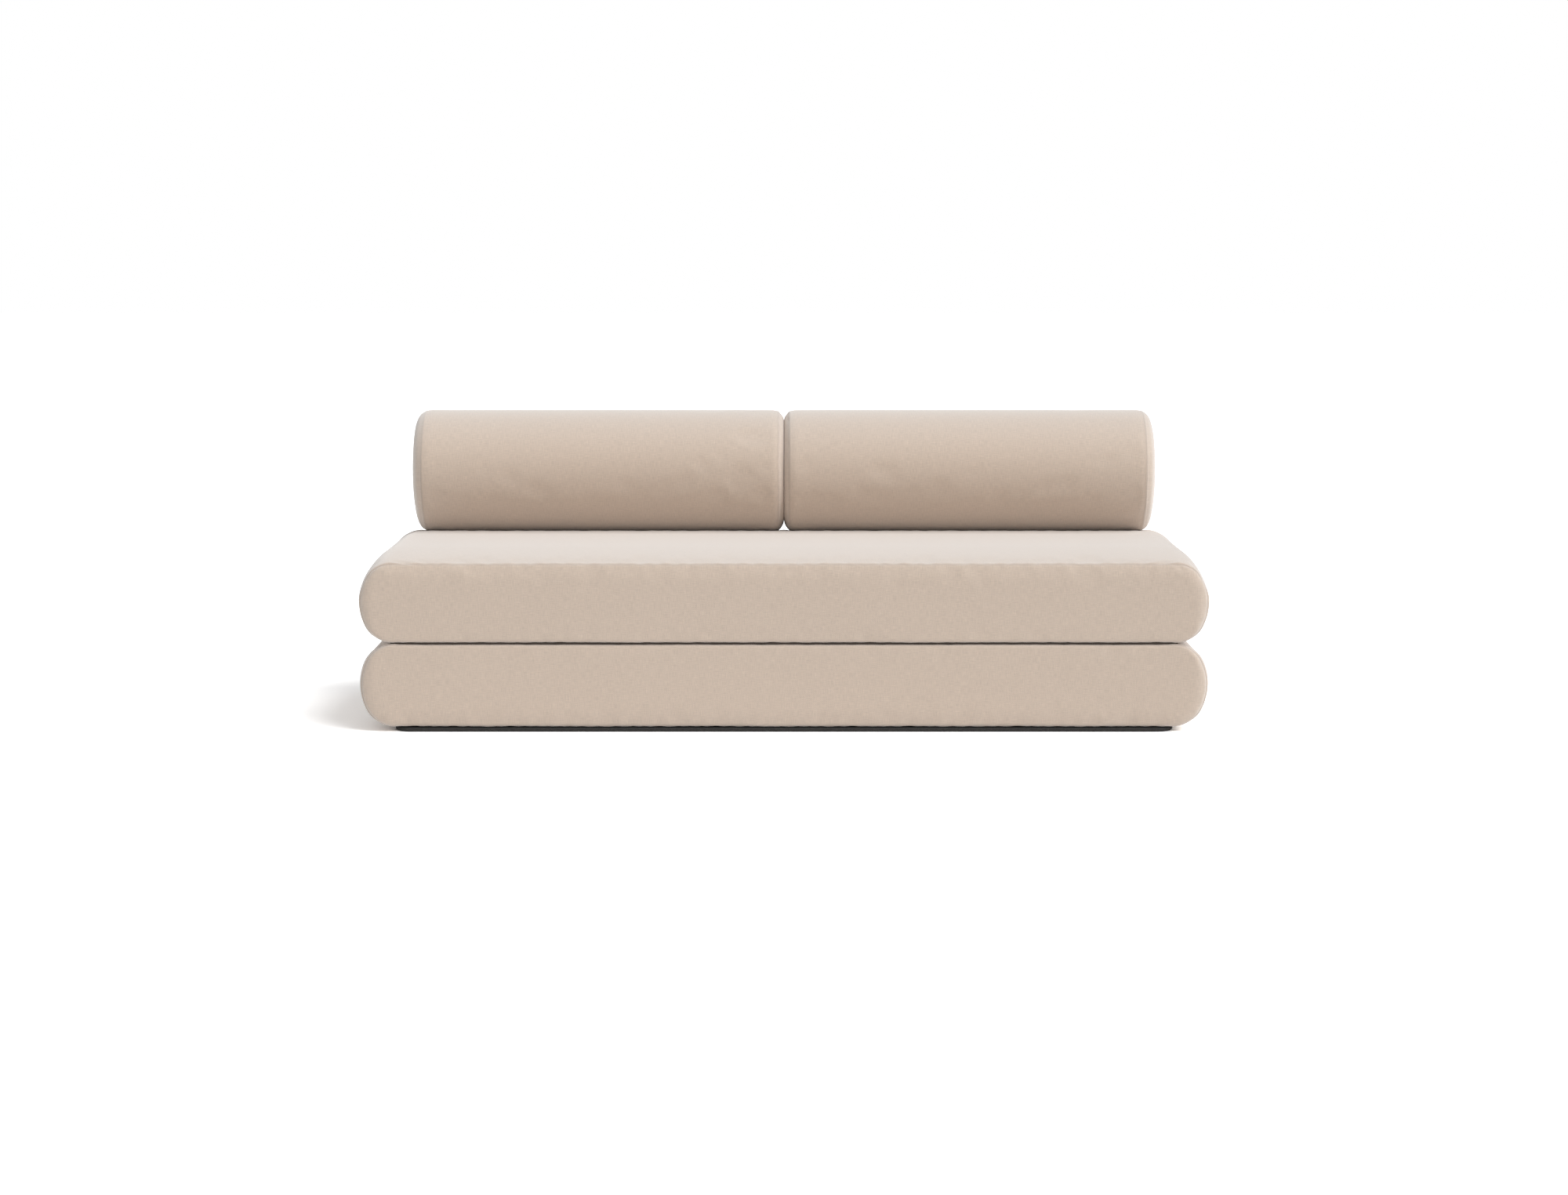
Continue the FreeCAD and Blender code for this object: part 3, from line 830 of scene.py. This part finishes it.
def make_bolster(side, material):
    stem = f"{side}_bolster"
    sign, (inner, _, _, _), radius, (axis_y, axis_z) = bolster_sizes(side)
    tape_low, tape_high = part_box(f"{stem}_zip_tape")
    cover = bolster_cover(side)
    at_rest = np.array(cover.points)
    arm = at_rest[:, 1:] - (axis_y, axis_z)
    turn = np.arctan2(arm[:, 1], arm[:, 0])
    from_zip = np.abs(turn - BOLSTER_ZIP_ANGLE) * radius
    from_middle = np.abs(at_rest[:, 0] - (tape_low.x + tape_high.x) / 2)
    slot_half = (tape_high.x - tape_low.x) / 2
    on_tube = np.linalg.norm(arm, axis=1) > radius - CLOSE
    held = (np.array(cover.seam) < EXACT).astype(float)
    held[arm[:, 1] < -radius + BOLSTER_REST_HELD] = 1.0
    held[sign * at_rest[:, 0] < inner + CAP_HELD] = 1.0
    held[on_tube & (from_zip < BOLSTER_ZIP_HELD) & (from_middle < slot_half + ZIP_HELD)] = 1.0
    points = stuffed(stem, cover, held, BOLSTER_SWELL)
    points[sign * at_rest[:, 0] < inner + CAP_REACH, 0] = -sign * CAP_PRESS
    points[:, 2] = axis_z + sunk(points[:, 2] - axis_z, radius)
    in_slot = on_tube & (from_zip < SLOT_STEPS[0] + CLOSE) & (from_middle < slot_half + SLOT_END_MARGIN)
    points[in_slot, 1:] = (axis_y, axis_z) + arm[in_slot] * (1 - SLOT_RECESS / radius)
    panels = {
        "tube": [f"{stem}_tube_cover", f"{stem}_fibre_sleeve"],
        "inner": [f"{stem}_inner_cap"],
        "outer": [f"{stem}_outer_cap"],
    }
    dress(cover, points, panels, stem, material)


# Other pieces


def grid_mesh(name, rows):
    """Bar through rows of points, each a closed section, with the weave's coordinates measured both ways."""
    rows = np.array(rows, float)
    count, width = rows.shape[:2]
    mesh = bpy.data.meshes.new(name)
    faces = []
    flats = []
    along = path_length(rows[:, 0])
    across = path_length(closed(rows[0]))
    for i in range(count - 1):
        here, after = i * width, (i + 1) * width
        for k in range(width):
            j = (k + 1) % width
            faces.append((here + k, here + j, after + j, after + k))
            flats += [(along[i], across[k]), (along[i], across[k + 1])]
            flats += [(along[i + 1], across[k + 1]), (along[i + 1], across[k])]
    for row, order in ((0, -1), (count - 1, 1)):
        faces.append([row * width + k for k in range(width)][::order])
        flats += [(p[0], p[1]) for p in rows[row][::order][:, 1:]]
    mesh.from_pydata(rows.reshape(-1, 3), [], faces)
    mesh.uv_layers.new(name="weave").data.foreach_set("uv", np.array(flats, np.float32).ravel())
    mesh.update()
    return mesh


def thick_line(line, thick):
    """Closed section that follows an open line of points (y, z) on both sides."""
    line = np.array(line, float)
    tangent = np.gradient(line, axis=0)
    tangent /= np.linalg.norm(tangent, axis=1)[:, None]
    normal = np.stack([-tangent[:, 1], tangent[:, 0]], 1) * thick / 2
    return np.concatenate([line + normal, (line - normal)[::-1]])


def make_hinge(material):
    """Woven tape folded in two in the front crease, sewn to both mattresses, which it joins. Its near-black colour
    and its ends past the hinge are painted shade in the crease.
    """
    low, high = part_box("hinge_welt")
    fold_y, fold_z = (low.y + high.y) / 2, (low.z + high.z) / 2
    turn_y, back_y = fold_y + HINGE_TURN, fold_y + HINGE_TURN + HINGE_BACK
    leg_ys = [back_y + (turn_y - back_y) * k / HINGE_LEG_COUNT for k in range(HINGE_LEG_COUNT)]
    lower = [(y, fold_z - HINGE_LEG) for y in leg_ys]
    angles = np.linspace(-math.pi / 2, -3 * math.pi / 2, HINGE_BEND_COUNT)
    bend = [(turn_y + HINGE_LEG * math.cos(a), fold_z + HINGE_LEG * math.sin(a)) for a in angles]
    upper = [(y, 2 * fold_z - z) for y, z in reversed(lower)]
    section = thick_line(lower + bend + upper, HINGE_THICK)
    start, end = low.x - HINGE_OVER, high.x + HINGE_OVER
    xs = np.linspace(start, end, round((end - start) / HINGE_GRID))
    mesh = grid_mesh("hinge_tape_and_crease_shade", [[(x, y, z) for y, z in section] for x in xs])
    mesh.polygons.foreach_set("use_smooth", np.ones(len(mesh.polygons), bool))
    for vertex in mesh.vertices:
        near_end = max(0.0, 1 - (end - abs(vertex.co.x)) / HINGE_TAPER)
        vertex.co.y += HINGE_DRAWN * near_end ** 2
    piece = bpy.data.objects.new("hinge_tape_and_crease_shade", mesh)
    show(piece, material, ["hinge_welt", "lower_hinge_leaf", "upper_hinge_leaf"])
    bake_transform(piece)


def zip_at(stem):
    """Turns a zip's own coordinates, along X, across and out of the fabric's face, into points of the part."""
    low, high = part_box(f"{stem}_zip_tape")
    if stem.endswith("bolster"):
        _, _, radius, (axis_y, axis_z) = bolster_sizes(stem.split("_")[0])
        out = np.array((0.0, math.cos(BOLSTER_ZIP_ANGLE), math.sin(BOLSTER_ZIP_ANGLE)))
        face = np.array((0.0, axis_y, axis_z)) + out * radius
    else:
        out = np.array((0.0, 1.0, 0.0))
        face = np.array((0.0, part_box(f"{stem}_back_panel")[1].y, (low.z + high.z) / 2))
    across = np.cross(out, (1.0, 0.0, 0.0))

    def place(x, side, rise):
        return np.array((x, 0.0, 0.0)) + face + across * side + out * rise

    return place, low.x, high.x


def make_zip(stem, body, materials):
    """Tape, teeth and rounded metal pieces of one zip."""
    place, start, end = zip_at(stem)
    top = TAPE_THICK - COVER_THICK
    xs = np.linspace(start, end, round((end - start) / TAPE_GRID))
    section = [(side, top + rise) for side, rise in TAPE_PROFILE]
    section += [(side, -COVER_THICK) for side, _ in reversed(TAPE_PROFILE)]
    rows = [[place(x, side, rise) for side, rise in section] for x in xs]
    name = f"{stem}_zip_tape_woven"
    tape = bpy.data.objects.new(name, grid_mesh(name, rows))
    show(tape, materials["zip_tape"], [f"{stem}_zip_tape"], body)
    make_teeth(stem, place, top, body, materials["zip_coil"])
    bodies = {n: b for b, nodes in frame["record"]["behaviour"]["bodies"].items() for n in nodes}
    for word in ("stops", "slider", "pull"):
        solid = f"{stem}_zip_{word}"
        piece = bpy.data.objects.new(solid + "_rounded", rounded_copy(solid, METAL_ROUND))
        show(piece, materials["zip_metal"], [solid], bodies[solid])


def make_teeth(stem, place, top, body, material):
    """Closed teeth that hook into each other from both sides of the tape."""
    low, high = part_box(f"{stem}_zip_coil")
    count = round((high.x - low.x) / TOOTH_PITCH)
    levels = ((0.0, 0.0), (TOOTH_HEIGHT * TOOTH_SHOULDER, 0.0), (TOOTH_HEIGHT, TOOTH_TAPER))
    points, faces = [], []
    for k in range(count):
        x = low.x + (k + 0.5) * (high.x - low.x) / count
        sign = 1 if k % 2 else -1
        start = len(points)
        for rise, shrink in levels:
            half = TOOTH_LONG / 2 - shrink
            sides = (-TOOTH_HOOK + shrink, TOOTH_REACH - shrink)
            corners = ((-half, sides[0]), (half, sides[0]), (half, sides[1]), (-half, sides[1]))
            points += [place(x + along, sign * side, top + rise) for along, side in corners]
        quads = []
        for ring in (start, start + 4):
            for i in range(4):
                j = (i + 1) % 4
                quads.append([ring + i, ring + j, ring + 4 + j, ring + 4 + i])
        quads += [[start + 3, start + 2, start + 1, start], [start + 8, start + 9, start + 10, start + 11]]
        faces += [q[::-1] for q in quads] if sign < 0 else quads
    mesh = bpy.data.meshes.new(f"{stem}_zip_teeth")
    mesh.from_pydata(points, [], faces)
    mesh.update()
    piece = bpy.data.objects.new(f"{stem}_zip_teeth", mesh)
    show(piece, material, [f"{stem}_zip_coil"], body)


def smooth_rounds(mesh):
    mesh.polygons.foreach_set("use_smooth", np.ones(len(mesh.polygons), bool))
    mesh.set_sharp_from_angle(angle=SMOOTH_ANGLE)


def rounded_copy(solid, width):
    """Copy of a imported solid's mesh with its sharp edges rounded."""
    made = bmesh.new()
    made.from_mesh(frame["nodes"][solid].data)
    bmesh.ops.remove_doubles(made, verts=made.verts, dist=EXACT)
    bmesh.ops.dissolve_limit(made, angle_limit=FLAT_ANGLE, verts=made.verts, edges=made.edges)
    sharp = [e for e in made.edges if len(e.link_faces) == 2 and e.calc_face_angle() > SHARP_ANGLE]
    bmesh.ops.bevel(made, geom=sharp, offset=width, offset_type="OFFSET", segments=2, profile=0.5,
                    affect="EDGES", clamp_overlap=True)
    bmesh.ops.triangulate(made, faces=[f for f in made.faces if len(f.verts) > 4])
    mesh = bpy.data.meshes.new(solid + "_rounded")
    made.to_mesh(mesh)
    made.free()
    smooth_rounds(mesh)
    return mesh


def make_base(material):
    """Non-slip pad with rounded edges and rows of low dots under it."""
    low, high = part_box("non_slip_base")
    mid_y = (low.y + high.y) / 2
    points, faces = [], []

    def add_loop(loop):
        start = len(points)
        points.extend(loop)
        return list(range(start, start + len(loop)))

    def edge_loop(inset, z):
        radius = BASE_CORNER - inset
        cx, cy = high.x - BASE_CORNER, (high.y - low.y) / 2 - BASE_CORNER
        loop = []
        for k, (sx, sy) in enumerate(((1, -1), (1, 1), (-1, 1), (-1, -1))):
            for a in np.linspace(-math.pi / 2, 0, BASE_CORNER_COUNT) + k * math.pi / 2:
                loop.append((sx * cx + radius * math.cos(a), mid_y + sy * cy + radius * math.sin(a), z))
        return add_loop(loop)

    def dot_loop(x, y, radius, z):
        turns = np.linspace(0, 2 * math.pi, DOT_COUNT, endpoint=False)
        return add_loop([(x + radius * math.cos(a), y + radius * math.sin(a), z) for a in turns])

    def side_faces(one, two):
        for i in range(len(one)):
            j = (i + 1) % len(one)
            faces.append((one[i], one[j], two[j], two[i]))

    foot = low.z + DOT_HEIGHT
    turn = np.linspace(0, math.pi / 2, BASE_EDGE_COUNT)
    levels = [(BASE_EDGE * (1 - math.sin(a)), foot + BASE_EDGE * (1 - math.cos(a))) for a in turn]
    levels += [(BASE_EDGE * (1 - math.cos(a)), high.z - BASE_EDGE * (1 - math.sin(a))) for a in turn]
    loops = [edge_loop(inset, z) for inset, z in levels]
    for one, two in zip(loops, loops[1:]):
        side_faces(one, two)
    faces.append(loops[0][::-1])
    faces.append(loops[-1])
    columns = int((high.x - low.x - 2 * BASE_CORNER) / DOT_PITCH)
    lines = int((high.y - low.y - 2 * BASE_CORNER) / DOT_PITCH)
    for i in range(columns + 1):
        for k in range(lines + 1):
            x = (i - columns / 2) * DOT_PITCH
            y = mid_y + (k - lines / 2) * DOT_PITCH
            rings = [dot_loop(x, y, DOT_RADIUS * share, foot + rise) for share, rise in DOT_PROFILE]
            for one, two in zip(rings, rings[1:]):
                side_faces(one[::-1], two[::-1])
            faces.append(rings[-1][::-1])
    mesh = bpy.data.meshes.new("non_slip_pad")
    mesh.from_pydata(points, [], faces)
    mesh.update()
    smooth_rounds(mesh)
    piece = bpy.data.objects.new("non_slip_pad", mesh)
    show(piece, material, ["non_slip_base"], "lower_mattress")


def make_grips(material):
    """Hook and loop strips between the bolsters and the seat, which sink with the covers.

    The seat has one strip under each bolster, as long as the bolster's own.
    """
    _, _, radius, (axis_y, axis_z) = bolster_sizes("left")
    strips = {"seat_grip_strips": "upper_mattress"}
    strips.update({f"{side}_bolster_grip_strip": f"{side}_bolster" for side in ("left", "right")})
    for solid, body in strips.items():
        mesh = rounded_copy(solid, GRIP_ROUND)
        low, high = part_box(solid)
        if "bolster" in solid:
            for vertex in mesh.vertices:
                vertex.co.z = axis_z + sunk(vertex.co.z - axis_z, radius)
        else:
            for vertex in mesh.vertices:
                above = axis_z + sunk(-math.sqrt(radius ** 2 - (vertex.co.y - axis_y) ** 2), radius)
                vertex.co.z += above - SINK_CLEARANCE / 2 - high.z
        piece = bpy.data.objects.new(solid + "_pile", mesh)
        show(piece, material, [solid], body)


def finish_solids(materials):
    """Materials for the solids that stay in sight, or inside."""
    slots = {row["node"]: row["material_slot"] for row in frame["record"]["subparts"]}
    for name, obj in frame["nodes"].items():
        obj.data.materials.clear()
        obj.data.materials.append(materials[slots[name]])


# Stage


def seen_rays(tree):
    """1 for what the camera sees directly, or in metal or glass, and otherwise 0."""
    rays = node(tree, "ShaderNodeLightPath")
    seen = math_node(tree, "MAXIMUM", rays.outputs["Is Camera Ray"], rays.outputs["Is Glossy Ray"])
    return math_node(tree, "MAXIMUM", seen, rays.outputs["Is Transmission Ray"])


def make_stage():
    scene = bpy.context.scene
    scene.view_settings.view_transform = "Standard"
    world = bpy.data.worlds.new("Studio")
    scene.world = world
    world.use_nodes = True
    tree = world.node_tree
    tree.nodes.clear()
    sky = node(tree, "ShaderNodeBackground")
    sky.inputs["Color"].default_value = SKY_COLOUR
    sky.inputs["Strength"].default_value = SKY_LEVEL
    white = node(tree, "ShaderNodeBackground")
    white.inputs["Color"].default_value = (1, 1, 1, 1)
    mix = node(tree, "ShaderNodeMixShader")
    out = node(tree, "ShaderNodeOutputWorld")
    tree.links.new(seen_rays(tree), mix.inputs[0])
    tree.links.new(sky.outputs[0], mix.inputs[1])
    tree.links.new(white.outputs[0], mix.inputs[2])
    tree.links.new(mix.outputs[0], out.inputs["Surface"])
    make_floor()
    data = bpy.data.lights.new("Key", "SUN")
    data.energy = KEY_STRENGTH
    data.angle = math.radians(KEY_ANGLE)
    lamp = bpy.data.objects.new("Key", data)
    lamp.rotation_euler = (-Vector(KEY_DIRECTION)).to_track_quat("-Z", "Y").to_euler()
    scene.collection.objects.link(lamp)
    make_camera()


def make_floor():
    mesh = bpy.data.meshes.new("Floor")
    corners = [(x * FLOOR_REACH, y * FLOOR_REACH, 0) for x, y in ((-1, -1), (1, -1), (1, 1), (-1, 1))]
    mesh.from_pydata(corners, [], [(0, 1, 2, 3)])
    floor = bpy.data.objects.new("Floor", mesh)
    bpy.context.scene.collection.objects.link(floor)
    made = bpy.data.materials.new("Pale floor")
    made.use_nodes = True
    tree = made.node_tree
    tree.nodes.clear()
    grey = math_node(tree, "MULTIPLY_ADD", seen_rays(tree), FLOOR_SEEN - FLOOR_GREY, FLOOR_GREY)
    matt = node(tree, "ShaderNodeBsdfDiffuse")
    out = node(tree, "ShaderNodeOutputMaterial")
    tree.links.new(grey, matt.inputs["Color"])
    tree.links.new(matt.outputs[0], out.inputs["Surface"])
    mesh.materials.append(made)


def make_camera():
    data = bpy.data.cameras.new("Camera")
    data.lens = CAMERA_LENS
    data.sensor_fit = "HORIZONTAL"
    data.sensor_width = SENSOR_WIDTH
    camera = bpy.data.objects.new("Camera", data)
    camera.location = CAMERA_PLACE
    camera.rotation_euler = (math.radians(90 - CAMERA_PITCH), 0, 0)
    bpy.context.scene.collection.objects.link(camera)
    bpy.context.scene.camera = camera


def main():
    materials = all_materials()
    finish_solids(materials)
    for name in ("lower", "upper"):
        make_mattress(name, materials["linen"])
        make_zip(name, f"{name}_mattress", materials)
    for side in ("left", "right"):
        make_bolster(side, materials["linen"])
        make_zip(f"{side}_bolster", f"{side}_bolster", materials)
    make_hinge(materials["hinge_fabric"])
    make_base(materials["base"])
    make_grips(materials["grip"])
    make_stage()


main()
